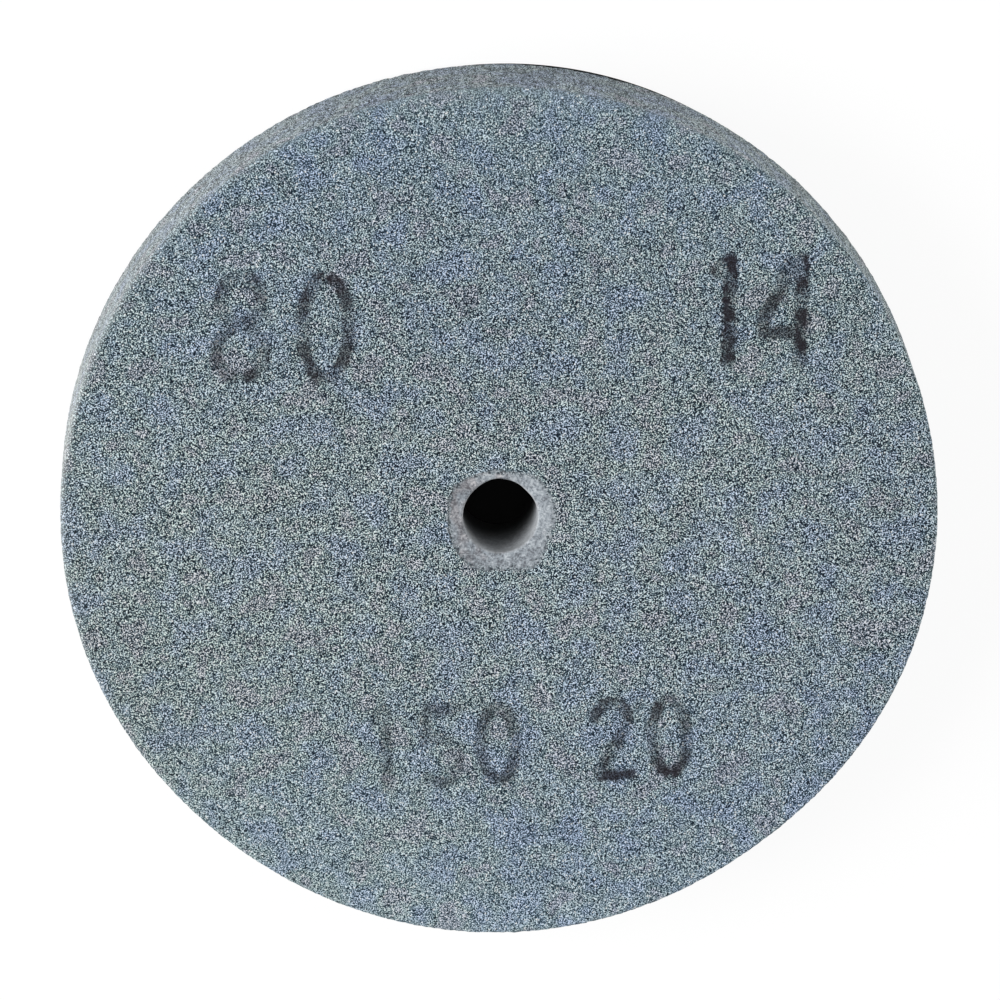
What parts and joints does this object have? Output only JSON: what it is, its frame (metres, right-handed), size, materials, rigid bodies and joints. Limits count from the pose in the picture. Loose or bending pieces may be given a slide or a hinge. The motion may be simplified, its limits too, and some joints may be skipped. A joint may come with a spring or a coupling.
{
  "type": "grinding wheel",
  "caption": "Straight vitrified grinding wheel for a bench grinder, a flat abrasive disc with a pale cast lining that forms its bore.",
  "frame": {"origin": "on the bore's axis, in the plane of the back face that the wheel lies on", "axes": "+Z along the wheel's axis, out of the marked front face; +Y is the side of the rim that the picture shows; +X to the right of the marked face"},
  "size_m": [0.1522, 0.1523, 0.0191],
  "materials": {
    "vitrified_abrasive": "rough fired grains, matte, speckled blue-grey",
    "cast_lining": "smooth cast, matte, pale grey"
  },
  "bodies": {
    "root": {"abrasive_body": "vitrified_abrasive", "bore_lining": "cast_lining"}
  },
  "joints": []
}
